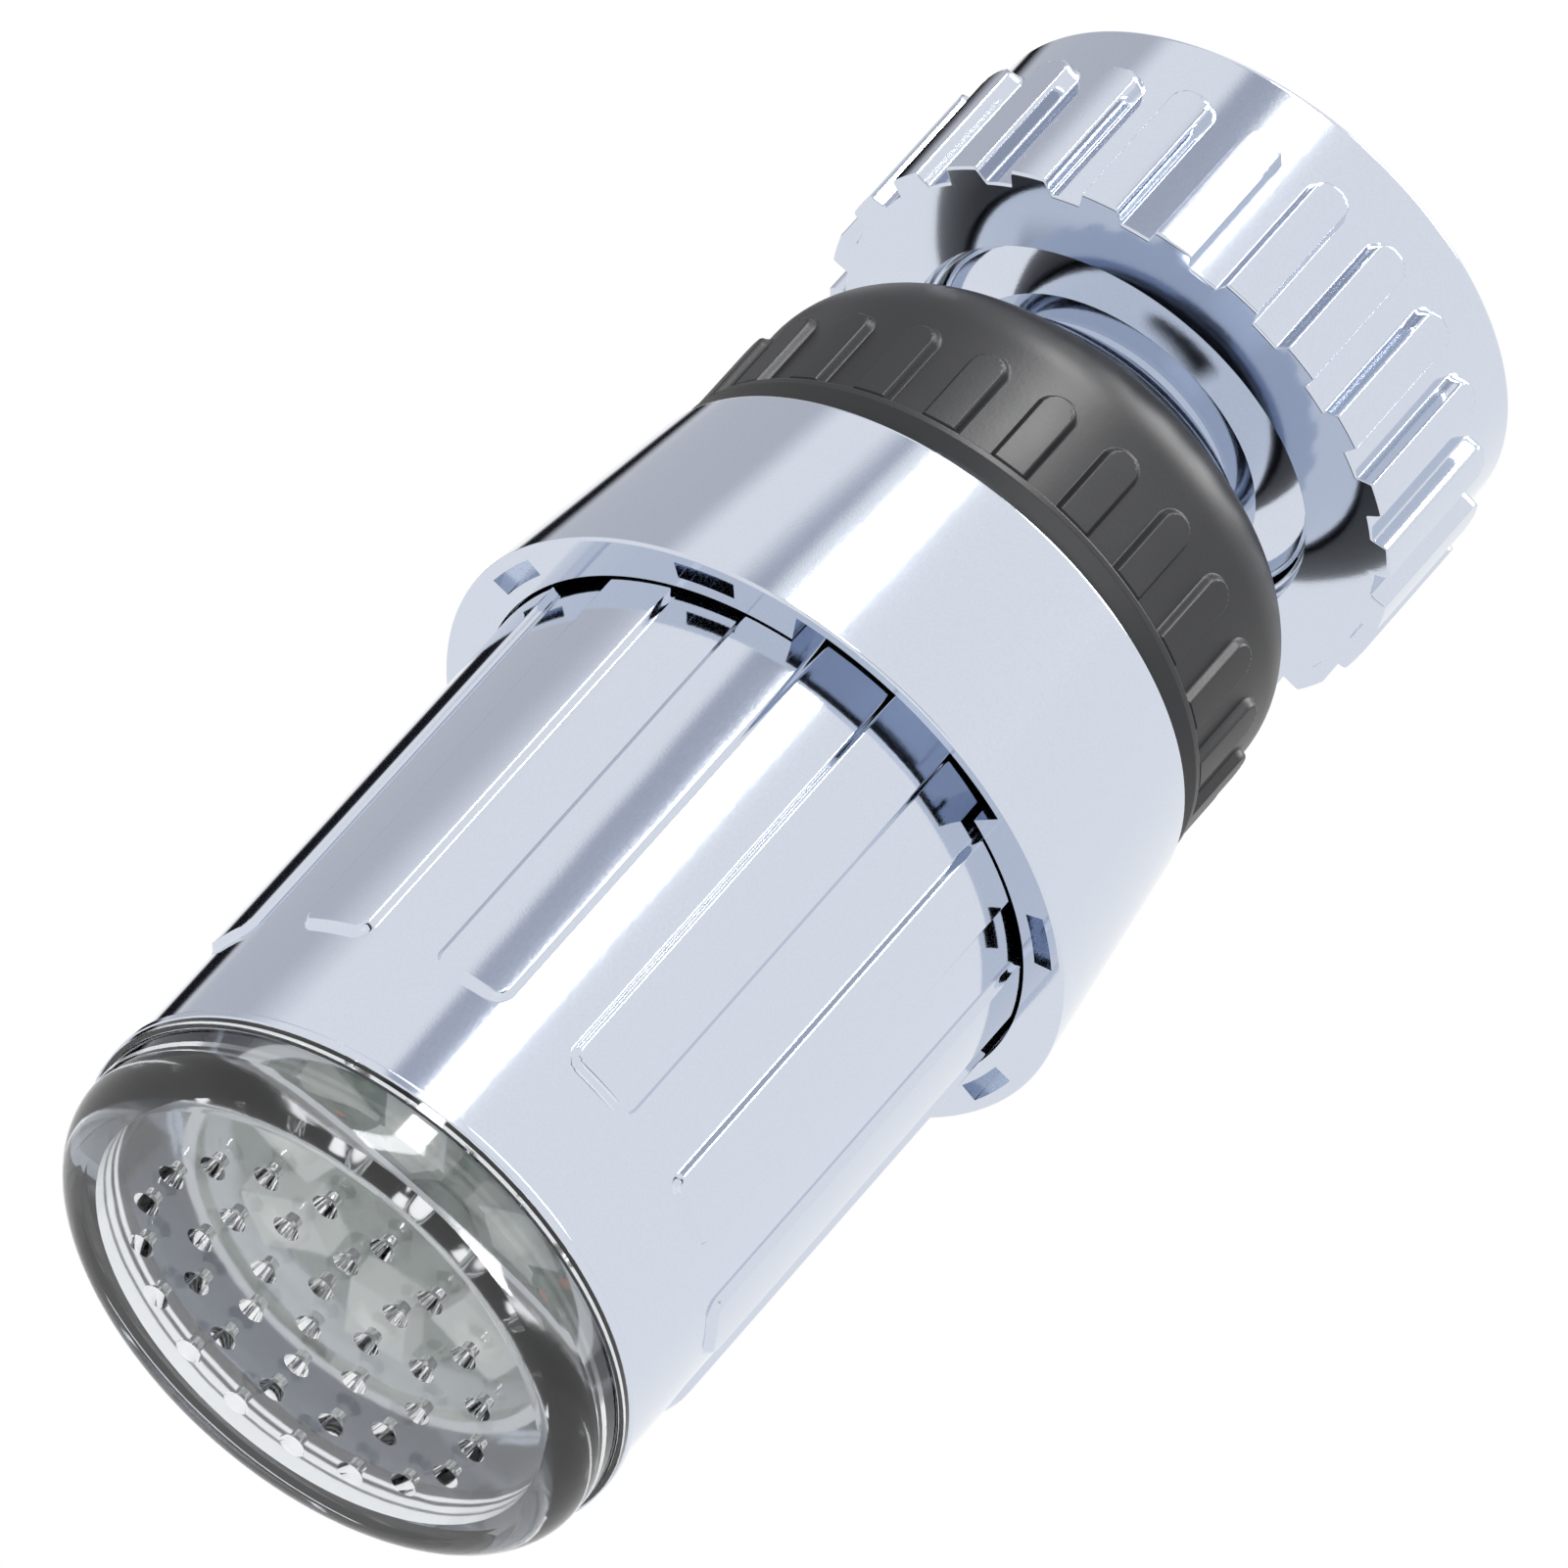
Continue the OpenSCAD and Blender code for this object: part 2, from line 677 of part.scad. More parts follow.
module stator_core() {
    color([0.55, 0.56, 0.6]) {
        difference() {
            tube(core_in, core_out, z_core, z_core_top);
            tube(core_in - reach, core_out - core_t, z_core + core_t, z_core_top - core_t);
            // ways for the two coil leads
            for (turn = lead_turns)
                rotate([0, 0, turn]) translate([lead_at, 0, z_core - over])
                    cylinder(r = lead_way_r, h = core_t + 2 * over, $fn = 32);
        }
        // claws that point up from below and down from above, in turn
        for (i = [0 : 2 * claw_n - 1])
            rotate([0, 0, i * 180 / claw_n])
                intersection() {
                    tube(core_in, core_in + core_t, i % 2 == 0 ? z_core + core_t - hair
                        : z_core_top - core_t - claw_l, i % 2 == 0 ? z_core + core_t + claw_l
                        : z_core_top - core_t + hair);
                    translate([0, -claw_w / 2, z_core]) cube([core_out, claw_w, core_h]);
                }
    }
}

module coil_bobbin() {
    color([0.92, 0.9, 0.84]) rotate_extrude() union() {
        box2(bobbin_in, bobbin_in + bobbin_t, z_bobbin, z_bobbin + bobbin_h);
        box2(bobbin_in, bobbin_out, z_bobbin, z_bobbin + bobbin_t);
        box2(bobbin_in, bobbin_out, z_bobbin + bobbin_h - bobbin_t, z_bobbin + bobbin_h);
    }
}

module coil_winding() {
    color([0.72, 0.42, 0.2])
        tube(bobbin_in + bobbin_t + press, coil_out, z_bobbin + bobbin_t + press,
            z_bobbin + bobbin_h - bobbin_t - press);
}

module coil_leads() {
    color([0.75, 0.5, 0.25]) for (turn = lead_turns)
        rotate([0, 0, turn]) translate([lead_at, 0, z_board - lead_end])
            cylinder(r = lead_r, h = z_bobbin - z_board + lead_end - press, $fn = 24);
}

module led_board() {
    color([0.12, 0.4, 0.22]) translate([0, 0, z_board]) difference() {
        cylinder(r = board_r, h = board_t);
        translate([0, 0, -over]) cylinder(r = board_hole_r, h = board_t + 2 * over);
        for (turn = lead_turns)
            rotate([0, 0, turn]) translate([lead_at, 0, -over])
                cylinder(r = lead_r + fit, h = board_t + 2 * over, $fn = 24);
    }
}

module leds() {
    color([0.97, 0.95, 0.8]) for (i = [0 : led_n - 1])
        rotate([0, 0, i * 360 / led_n]) translate([lamp_at, 0, z_board - lamp_size[2]])
            difference() {
                translate([-lamp_size[0] / 2, -lamp_size[1] / 2, 0]) cube(lamp_size);
                translate([0, 0, -over]) cylinder(r1 = lamp_r, r2 = lamp_in_r, h = lamp_dish, $fn = 32);
            }
}

module control_chip() {
    color([0.1, 0.1, 0.11])
        translate([chip_at - chip_size[0] / 2, -chip_size[1] / 2, z_parts]) cube(chip_size);
}

module rectifier() {
    color([0.1, 0.1, 0.11])
        translate([-chip_at - rectifier_size[0] / 2, -rectifier_size[1] / 2, z_parts])
            cube(rectifier_size);
}

module capacitor() {
    color([0.75, 0.76, 0.78]) translate([0, can_at, z_parts]) cylinder(r = can_r, h = can_h);
}

module led_window() {
    color([0.85, 0.88, 0.9, 0.6]) translate([0, 0, z_capsule])
        cylinder(r = capsule_r - wall - fit, h = window_t);
}

swivel_nut();
stem_clip();
inlet_washer();
filter_screen();
ball_stem();
retaining_ring();
ball_seat();
ball_seal();
upper_shell();
body_seal();
barrel();
cap_gasket();
outlet_cap();
jet_plate();
shaft_bushes();
turbine_rotor();
rotor_shaft();
rotor_magnet();
generator_housing();
stator_core();
coil_bobbin();
coil_winding();
coil_leads();
led_board();
leds();
control_chip();
rectifier();
capacitor();
led_window();
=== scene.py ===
import math

import bpy
import numpy as np
from mathutils import Matrix, Vector


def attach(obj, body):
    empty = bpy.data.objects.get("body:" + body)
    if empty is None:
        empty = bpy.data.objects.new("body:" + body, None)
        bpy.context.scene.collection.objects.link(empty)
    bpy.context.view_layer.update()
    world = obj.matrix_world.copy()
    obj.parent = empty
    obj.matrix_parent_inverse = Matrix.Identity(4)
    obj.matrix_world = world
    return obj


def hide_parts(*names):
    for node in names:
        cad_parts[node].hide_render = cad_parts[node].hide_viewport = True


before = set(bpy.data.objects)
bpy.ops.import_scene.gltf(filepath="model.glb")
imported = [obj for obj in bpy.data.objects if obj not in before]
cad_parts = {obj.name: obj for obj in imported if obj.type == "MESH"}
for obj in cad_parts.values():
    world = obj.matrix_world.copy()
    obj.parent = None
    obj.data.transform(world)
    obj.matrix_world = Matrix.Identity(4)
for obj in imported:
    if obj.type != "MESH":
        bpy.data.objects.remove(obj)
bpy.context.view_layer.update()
MM = 0.001

# Levels and radii of the light, in millimetres, the same as in its construction model.
Z_SEAM, Z_SHELL, Z_SHELL_TOP, Z_BARREL = 3.5, 31.1, 42.3, 40.8
Z_RING, Z_ROUND, Z_LIP, Z_RING_TOP, Z_COLLAR = 42.6, 49.3, 52.7, 52.9, 45.4
Z_BALL, Z_BALL_LOW, Z_NECK = 46.862, 36.684, 56.438
Z_NUT, Z_NUT_TOP, Z_THREAD = 56.888, 67.138, 61.988
BARREL_R, BORE_R, SHELL_LOW_R, SHELL_TOP_R, SHELL_BORE = 12.7, 11.7, 15.0, 13.5, 13.1
RING_R, BALL_R, SEAT_R, OPEN_R, NECK_R = 12.76, 11.3, 11.45, 9.85, 6.0
NUT_R, THREAD_R, RELIEF_R, NUT_LIP_R, FLARE_R = 12.95, 10.46, 10.86, 9.29, 9.14
GRIP_N, GRIP_W, GRIP_H, GRIP_TURN = 24, 1.6, 0.38, 10.8
NUT_RIB_N, NUT_RIB_W, NUT_RIB_H, NUT_RIB_L, NUT_RIB_TURN = 24, 1.8, 0.75, 7.3, 6.85
BARREL_RIB_N, BARREL_RIB_W, BARREL_RIB_H, BARREL_RIB_Z = 12, 3.315, 0.3, 9.4
SLOT_N, SLOT_W, SLOT_D, SLOT_DEEP = 8, 2.8, 0.8, 1.2
LONG_SLOT_R, LONG_SLOT_TURN, LONG_SLOT_HALF = 14.5, -94.3, 22.95
SLEEVE_R, COLLAR_R, PUSH_R, LEDGE_R, NARROW_R = 10.6, 11.9, 11.65, 8.204, 12.75
Z_SLEEVE, Z_LEDGE, Z_SHELL_IN, Z_NARROW = 36.618, 37.818, 41.0, 35.0


def linear(hex_colour):
    """sRGB hex value as linear red, green, blue and alpha."""
    parts = [int(hex_colour[i:i + 2], 16) / 255 for i in (1, 3, 5)]
    return tuple(p / 12.92 if p <= 0.04045 else ((p + 0.055) / 1.055) ** 2.4 for p in parts) + (1.0,)


def add(tree, kind, settings=None, **links):
    """Adds a node; settings are its properties, and links give its inputs as values or other nodes' outputs."""
    node = tree.nodes.new(kind)
    for name, value in (settings or {}).items():
        setattr(node, name, value)
    for name, value in links.items():
        key = int(name[1:]) if name[0] == "i" and name[1:].isdigit() else name.replace("_", " ")
        socket = node.inputs[key]
        if isinstance(value, bpy.types.NodeSocket):
            tree.links.new(value, socket)
        else:
            socket.default_value = value
    return node


def new_material(name):
    mat = bpy.data.materials.new(name)
    mat.use_nodes = True
    tree = mat.node_tree
    tree.nodes.clear()
    return mat, tree


def finish_material(tree, shader):
    out = tree.nodes.new("ShaderNodeOutputMaterial")
    tree.links.new(shader.outputs[0], out.inputs["Surface"])


def plated_abs():
    """Bright chrome electroplated on moulded ABS: a cool mirror whose skin waves a little over sink
    marks, with a very fine grain from the copper and nickel under it."""
    mat, t = new_material("chrome_plated_moulded_abs")
    place = add(t, "ShaderNodeTexCoord").outputs["Object"]
    sink = add(t, "ShaderNodeTexNoise", Vector=place, Scale=160.0, Detail=1.0, Roughness=0.4)
    grain = add(t, "ShaderNodeTexNoise", Vector=place, Scale=9000.0, Detail=2.0, Roughness=0.6)
    tint = add(t, "ShaderNodeMix", {"data_type": "RGBA"}, Factor=grain.outputs["Fac"],
               A=linear("#CCD3DF"), B=linear("#D6DCE8"))
    wave = add(t, "ShaderNodeBump", Strength=0.05, Distance=0.0004, Height=sink.outputs["Fac"])
    skin = add(t, "ShaderNodeBump", Strength=0.04, Distance=0.00002, Height=grain.outputs["Fac"],
               Normal=wave.outputs["Normal"])
    rough = add(t, "ShaderNodeMapRange", Value=grain.outputs["Fac"], To_Min=0.05, To_Max=0.11)
    shader = add(t, "ShaderNodeBsdfPrincipled", Base_Color=tint.outputs["Result"], Metallic=1.0,
                 Roughness=rough.outputs["Result"], Normal=skin.outputs["Normal"])
    finish_material(t, shader)
    return mat


def moulded_black_abs():
    """Black ABS moulded in a spark-eroded tool: a satin charcoal with a fine matt grain."""
    mat, t = new_material("moulded_black_abs")
    place = add(t, "ShaderNodeTexCoord").outputs["Object"]
    erosion = add(t, "ShaderNodeTexNoise", Vector=place, Scale=5200.0, Detail=3.0, Roughness=0.6)
    flow = add(t, "ShaderNodeTexNoise", Vector=place, Scale=260.0, Detail=2.0, Roughness=0.5)
    tint = add(t, "ShaderNodeMix", {"data_type": "RGBA"}, Factor=flow.outputs["Fac"],
               A=linear("#0E0F12"), B=linear("#15161A"))
    bump = add(t, "ShaderNodeBump", Strength=0.25, Distance=0.00002, Height=erosion.outputs["Fac"])
    rough = add(t, "ShaderNodeMapRange", Value=flow.outputs["Fac"], To_Min=0.34, To_Max=0.48)
    shader = add(t, "ShaderNodeBsdfPrincipled", Base_Color=tint.outputs["Result"], IOR=1.54,
                 Roughness=rough.outputs["Result"], Normal=bump.outputs["Normal"])
    finish_material(t, shader)
    return mat


def moulded_clear_styrene():
    """Clear polystyrene from a polished tool: glass-like, with a faint haze and slow flow waves."""
    mat, t = new_material("moulded_clear_styrene")
    place = add(t, "ShaderNodeTexCoord").outputs["Object"]
    flow = add(t, "ShaderNodeTexNoise", Vector=place, Scale=240.0, Detail=2.0, Roughness=0.5)
    bump = add(t, "ShaderNodeBump", Strength=0.08, Distance=0.0002, Height=flow.outputs["Fac"])
    rough = add(t, "ShaderNodeMapRange", Value=flow.outputs["Fac"], To_Min=0.03, To_Max=0.08)
    shader = add(t, "ShaderNodeBsdfPrincipled", Base_Color=linear("#F4F6F8"), IOR=1.57,
                 Roughness=rough.outputs["Result"], Normal=bump.outputs["Normal"],
                 Transmission_Weight=1.0)
    rays = add(t, "ShaderNodeLightPath").outputs
    passing = add(t, "ShaderNodeMath", {"operation": "MAXIMUM"}, i0=rays["Is Shadow Ray"],
                  i1=rays["Is Diffuse Ray"])
    open_air = add(t, "ShaderNodeBsdfTransparent", Color=linear("#F0F2F5"))
    finish_material(t, add(t, "ShaderNodeMixShader", i0=passing.outputs[0], i1=shader.outputs[0],
                           i2=open_air.outputs[0]))
    return mat


def plain_finish(name, low, high, rough_low, rough_high, scale, metal=0.0, ior=1.5, bump=0.1,
                 depth=0.00002):
    """A finish whose colour and roughness drift between two values over a noise of one scale."""
    mat, t = new_material(name)
    place = add(t, "ShaderNodeTexCoord").outputs["Object"]
    drift = add(t, "ShaderNodeTexNoise", Vector=place, Scale=scale, Detail=3.0, Roughness=0.55)
    tint = add(t, "ShaderNodeMix", {"data_type": "RGBA"}, Factor=drift.outputs["Fac"],
               A=linear(low), B=linear(high))
    rough = add(t, "ShaderNodeMapRange", Value=drift.outputs["Fac"], To_Min=rough_low, To_Max=rough_high)
    relief = add(t, "ShaderNodeBump", Strength=bump, Distance=depth, Height=drift.outputs["Fac"])
    values = {"Base_Color": tint.outputs["Result"], "Roughness": rough.outputs["Result"],
              "Normal": relief.outputs["Normal"], "Metallic": metal}
    if not metal:
        values["IOR"] = ior
    finish_material(t, add(t, "ShaderNodeBsdfPrincipled", **values))
    return mat


chrome = plated_abs()
black_abs = moulded_black_abs()
clear = moulded_clear_styrene()
acetal = plain_finish("moulded_white_acetal", "#E4E4E0", "#EEEEEA", 0.35, 0.5, 900.0, ior=1.48)
grey_abs = plain_finish("moulded_grey_abs", "#34363C", "#3E4046", 0.4, 0.55, 900.0, ior=1.54)
nitrile = plain_finish("moulded_nitrile_rubber", "#141415", "#1D1D1F", 0.55, 0.75, 1800.0, ior=1.52, bump=0.3)
spring = plain_finish("blued_spring_steel", "#8A8D93", "#A0A3A9", 0.25, 0.4, 2500.0, metal=1.0)
stainless = plain_finish("woven_stainless_wire", "#A9ACB1", "#C0C3C8", 0.25, 0.4, 4000.0, metal=1.0)
bronze = plain_finish("sintered_bronze", "#8F6A34", "#B08A4C", 0.4, 0.6, 6000.0, metal=1.0, bump=0.4)
ferrite = plain_finish("sintered_ferrite", "#1E1E21", "#2C2C30", 0.5, 0.7, 5000.0, ior=1.7, bump=0.3)
zinc = plain_finish("zinc_plated_pressed_steel", "#8C9099", "#AEB2BA", 0.3, 0.45, 1500.0, metal=1.0)
copper = plain_finish("enamelled_copper_wire", "#9A4E24", "#BC6A36", 0.25, 0.4, 4000.0, metal=1.0)
mask = plain_finish("solder_mask_on_glass_epoxy", "#0E4A22", "#14582B", 0.3, 0.45, 3000.0, ior=1.52)
lamp_white = plain_finish("moulded_lamp_package", "#E9E6D2", "#F2EFDC", 0.4, 0.5, 1500.0)
epoxy = plain_finish("moulded_black_epoxy", "#161618", "#222225", 0.45, 0.6, 3500.0, bump=0.3)
can = plain_finish("drawn_aluminium_can", "#B4B7BC", "#CBCED3", 0.25, 0.35, 2000.0, metal=1.0)

NODE_FINISH = {
    "swivel_nut": chrome, "ball_stem": chrome, "upper_shell": chrome, "barrel": chrome,
    "retaining_ring": black_abs, "outlet_cap": clear, "led_window": clear,
    "stem_clip": spring, "inlet_washer": nitrile, "filter_screen": stainless,
    "ball_seat": acetal, "ball_seal": nitrile, "body_seal": nitrile, "cap_gasket": nitrile,
    "jet_plate": grey_abs, "shaft_bushes": bronze, "turbine_rotor": acetal, "rotor_shaft": stainless,
    "rotor_magnet": ferrite, "generator_housing": acetal, "stator_core": zinc, "coil_bobbin": acetal,
    "coil_winding": copper, "coil_leads": copper, "led_board": mask, "leds": lamp_white,
    "control_chip": epoxy, "rectifier": epoxy, "capacitor": can,
}
for node_name, finish in NODE_FINISH.items():
    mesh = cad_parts[node_name].data
    mesh.materials.clear()
    mesh.materials.append(finish)


def rounded(corners, steps=5):
    """Profile through (r, z, radius) corners with each corner rounded by that radius."""
    points = []
    count = len(corners)
    for i, (r, z, radius) in enumerate(corners):
        here = Vector((r, z))
        if radius <= 0:
            points.append((r, z))
            continue
        before = Vector(corners[i - 1][:2]) - here
        after = Vector(corners[(i + 1) % count][:2]) - here
        half = before.angle(after) / 2
        reach = radius / math.tan(half)
        reach = min(reach, before.length * 0.48, after.length * 0.48)
        real = reach * math.tan(half)
        middle = here + (before.normalized() + after.normalized()).normalized() * (real / math.sin(half))
        start = here + before.normalized() * reach - middle
        end = here + after.normalized() * reach - middle
        turn = start.angle_signed(end)
        for k in range(steps + 1):
            a = -turn * k / steps
            x = start.x * math.cos(a) - start.y * math.sin(a)
            y = start.x * math.sin(a) + start.y * math.cos(a)
            points.append((middle.x + x, middle.y + y))
    return points


def turned(name, profile, angles, shift=None, flat=()):
    """Closed skin turned about the axis from (r, z) points in millimetres that climb on the outside.
    shift(angle, r, z, index) moves a point by (dr, dz). The shading normals are the true surface's,
    apart from the spans in flat, which are shaded as they lie."""
    around, along = len(angles), len(profile)
    spans = [Vector(profile[(k + 1) % along]) - Vector(profile[k]) for k in range(along)]

    def tangent(k, span):
        """Direction of the profile at point k, for the faces of one span."""
        before, after = spans[k - 1], spans[k]
        if before.angle(after) > math.radians(40):
            return spans[span].normalized()
        return (before * before.length + after * after.length).normalized()

    step = 0.002
    co = np.zeros((around * along, 3))
    ends = np.zeros((around * along, 2, 3))
    for k, (r, z) in enumerate(profile):
        sides = (tangent(k, k), tangent(k, k - 1))
        for i, a in enumerate(angles):
            dr = dz = by_angle = by_height = 0.0
            if shift:
                dr, dz = shift(a, r, z, k)
                if (k in flat) == False:
                    by_angle = (shift(a + step / r, r, z, k)[0] - shift(a - step / r, r, z, k)[0]) * r / (2 * step)
                    by_height = (shift(a, r, z + step, k)[0] - shift(a, r, z - step, k)[0]) / (2 * step)
            cos_a, sin_a = math.cos(a), math.sin(a)
            radius = r + dr
            co[i * along + k] = (radius * cos_a, radius * sin_a, z + dz)
            for side, t in enumerate(sides):
                out = radius * t.y
                turn = -by_angle * t.y
                rise = -radius * (t.x + by_height * t.y)
                ends[i * along + k, side] = (out * cos_a - turn * sin_a, out * sin_a + turn * cos_a, rise)
    faces, normals = [], []
    for i in range(around):
        j = (i + 1) % around
        for k in range(along):
            n = (k + 1) % along
            face = (i * along + k, j * along + k, j * along + n, i * along + n)
            faces.append(face)
            if k in flat:
                level = np.cross(co[face[2]] - co[face[0]], co[face[3]] - co[face[1]])
                normals += [level] * 4
            else:
                normals += [ends[face[0], 0], ends[face[1], 0], ends[face[2], 1], ends[face[3], 1]]
    normals = np.array(normals)
    normals /= np.maximum(np.linalg.norm(normals, axis=1, keepdims=True), 1e-12)
    mesh = bpy.data.meshes.new(name)
    mesh.from_pydata((co * MM).tolist(), [], faces)
    mesh.polygons.foreach_set("use_smooth", [True] * len(mesh.polygons))
    mesh.normals_split_custom_set(normals.tolist())
    obj = bpy.data.objects.new(name, mesh)
    bpy.context.scene.collection.objects.link(obj)
    return obj


def ease(x):
    x = min(1.0, max(0.0, x))
    return x * x * (3 - 2 * x)


def pad_height(across, up, width, length, corner, flank):
    """Share of a raised pad's height at a point: 1 on the pad, 0 beside it. The pad starts at up = 0."""
    qx = abs(across) - (width / 2 - corner)
    qy = up - (length - corner)
    outside = math.hypot(max(qx, 0), max(qy, 0)) + min(max(qx, qy), 0) - corner
    return ease(0.5 - outside / flank)


def rib_angles(count, turn_deg, radius, width, flank, plain=3, across=(0.3, 0.6, 0.85)):
    """Angles that are close together at the flanks of each rib."""
    pitch = 2 * math.pi / count
    half = width / 2
    near = [half + flank * f for f in (-0.5, -0.36, -0.22, -0.08, 0.08, 0.22, 0.36, 0.5)]
    near += [(half - flank / 2) * f for f in across]
    offsets = sorted({round(s * d / radius, 7) for d in near for s in (-1, 1)} | {0.0})
    first, last = offsets[-1], pitch + offsets[0]
    offsets += [first + (last - first) * k / (plain + 1) for k in range(1, plain + 1)]
    turn = math.radians(turn_deg)
    return [turn + i * pitch + o for i in range(count) for o in offsets]


def edge_angles(edges, gap, step):
    """Angles round a whole turn with a close pair at each edge, all in radians."""
    full = 2 * math.pi
    fixed = sorted((e + s * gap / 2) % full for e in edges for s in (-1, 1))
    angles = []
    for here, after in zip(fixed, fixed[1:] + [fixed[0] + full]):
        count = max(1, round((after - here) / step)) if after - here > 2 * gap else 1
        angles += [here + (after - here) * k / count for k in range(count)]
    return angles


def nearest_rib(angle, count, turn_deg, radius):
    """Distance along the arc from the middle of the nearest rib."""
    pitch = 2 * math.pi / count
    a = (angle - math.radians(turn_deg) + pitch / 2) % pitch - pitch / 2
    return a * radius


def levels(low, high, step):
    count = max(1, round((high - low) / step))
    return [low + (high - low) * k / count for k in range(count + 1)]


def take_over(obj, node_name, body, finish):
    obj.data.materials.append(finish)
    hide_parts(node_name)
    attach(obj, body)
    return obj


def make_nut():
    """Union nut: plain wall with 24 raised ribs, a fine tap thread inside and a lip round the flare."""
    edge, flank = 0.3, 0.3
    pad_top = Z_NUT + NUT_RIB_L
    outer = [(NUT_R, z) for z in levels(Z_NUT + 0.12, pad_top - 1.3, 0.9)[1:]]
    outer += [(NUT_R, z) for z in levels(pad_top - 1.2, pad_top + 0.3, 0.1)]
    outer += [(NUT_R, Z_NUT_TOP - edge)]
    outer += [(NUT_R - edge + edge * math.sin(a), Z_NUT_TOP - edge + edge * math.cos(a))
              for a in [math.pi / 2 * (1 - k / 6) for k in range(1, 7)]]
    inner = [(THREAD_R + 0.55, Z_NUT_TOP - 0.02), (THREAD_R + 0.5, Z_NUT_TOP - 0.06)]
    thread = [(THREAD_R, z) for z in reversed(levels(Z_THREAD + 0.1, Z_NUT_TOP - 0.5, 0.1))]
    below = rounded([(RELIEF_R, Z_THREAD, 0), (RELIEF_R, Z_NUT + 1.6, 0.15), (NUT_LIP_R, Z_NUT + 1.6, 0.15),
                     (NUT_LIP_R, Z_NUT, 0.12)], 3)
    floor_ring = [(NUT_LIP_R + 0.4, Z_NUT), (11.0, Z_NUT), (12.5, Z_NUT)]
    foot = [(NUT_R - 0.12 + 0.12 * math.sin(a), Z_NUT + 0.12 - 0.12 * math.cos(a))
            for a in [math.pi / 2 * k / 4 for k in range(5)]]
    profile = outer + inner + thread + below + floor_ring + foot
    first_thread = len(outer) + len(inner)
    last_thread = first_thread + len(thread)
    first_foot = len(profile) - len(foot)

    def shift(a, r, z, k):
        if k < len(outer) - 7 or k >= first_foot:
            d = nearest_rib(a, NUT_RIB_N, NUT_RIB_TURN, NUT_R)
            share = pad_height(d, z - Z_NUT, NUT_RIB_W, NUT_RIB_L, NUT_RIB_W / 2 - 0.15, flank)
            return NUT_RIB_H * share, 0.0
        if first_thread <= k < last_thread:
            turn = (z - a / (2 * math.pi)) % 1.0
            tooth = min(1.0, max(0.0, abs(turn - 0.5) * 2.6 - 0.25))
            fade = ease((Z_NUT_TOP - 0.4 - z) / 0.8)
            return 0.5 * tooth * fade + 0.35 * (1 - fade), 0.0
        return 0.0, 0.0

    angles = rib_angles(NUT_RIB_N, NUT_RIB_TURN, NUT_R, NUT_RIB_W, flank)
    obj = turned("nut_skin", profile, angles, shift)
    return take_over(obj, "swivel_nut", "nut", chrome)


def make_barrel():
    """Barrel tube with a small lip over the cap and twelve flat raised ribs that run into the shell."""
    flank = 0.34
    rib_low = BARREL_RIB_Z
    rib_top = Z_SHELL + 3.3
    lip = rounded([(BORE_R + 0.6, Z_SEAM, 0), (BARREL_R + 0.25, Z_SEAM, 0.08),
                   (BARREL_R + 0.25, Z_SEAM + 0.45, 0.1), (BARREL_R, Z_SEAM + 0.45, 0.1),
                   (BARREL_R, Z_SEAM + 2.0, 0), (BORE_R + 0.6, Z_SEAM + 2.0, 0)], 4)
    lip = [p for p in lip if not (p[1] > Z_SEAM + 1.9 and p[0] < BARREL_R - 0.01)]
    rows = lip + [(BARREL_R, z) for z in levels(Z_SEAM + 3.0, rib_low - 0.6, 1.2)]
    rows += [(BARREL_R, z) for z in levels(rib_low - 0.3, rib_low + 1.2, 0.09)]
    rows += [(BARREL_R, z) for z in levels(rib_low + 2.5, rib_top - 0.5, 2.4)]
    rows += [(BARREL_R, z) for z in levels(rib_top, rib_top + 0.6, 0.3)]
    first = len(lip)
    last = len(rows)
    rows += [(BARREL_R, Z_BARREL), (BORE_R, Z_BARREL), (BORE_R, Z_SEAM + 0.6), (BORE_R + 0.55, Z_SEAM + 0.6)]

    def shift(a, r, z, k):
        if first <= k < last:
            d = nearest_rib(a, BARREL_RIB_N, 0, BARREL_R)
            share = pad_height(d, rib_top - z, BARREL_RIB_W, rib_top - rib_low, 0.7, flank)
            share *= 1.0 if z <= rib_top else 0.0
            return BARREL_RIB_H * share, 0.0
        return 0.0, 0.0

    angles = rib_angles(BARREL_RIB_N, 0, BARREL_R, BARREL_RIB_W, flank, 8, (0.3, 0.5, 0.6, 0.7, 0.8, 0.9))
    obj = turned("barrel_skin", rows, angles, shift)
    return take_over(obj, "barrel", "light_body", chrome)


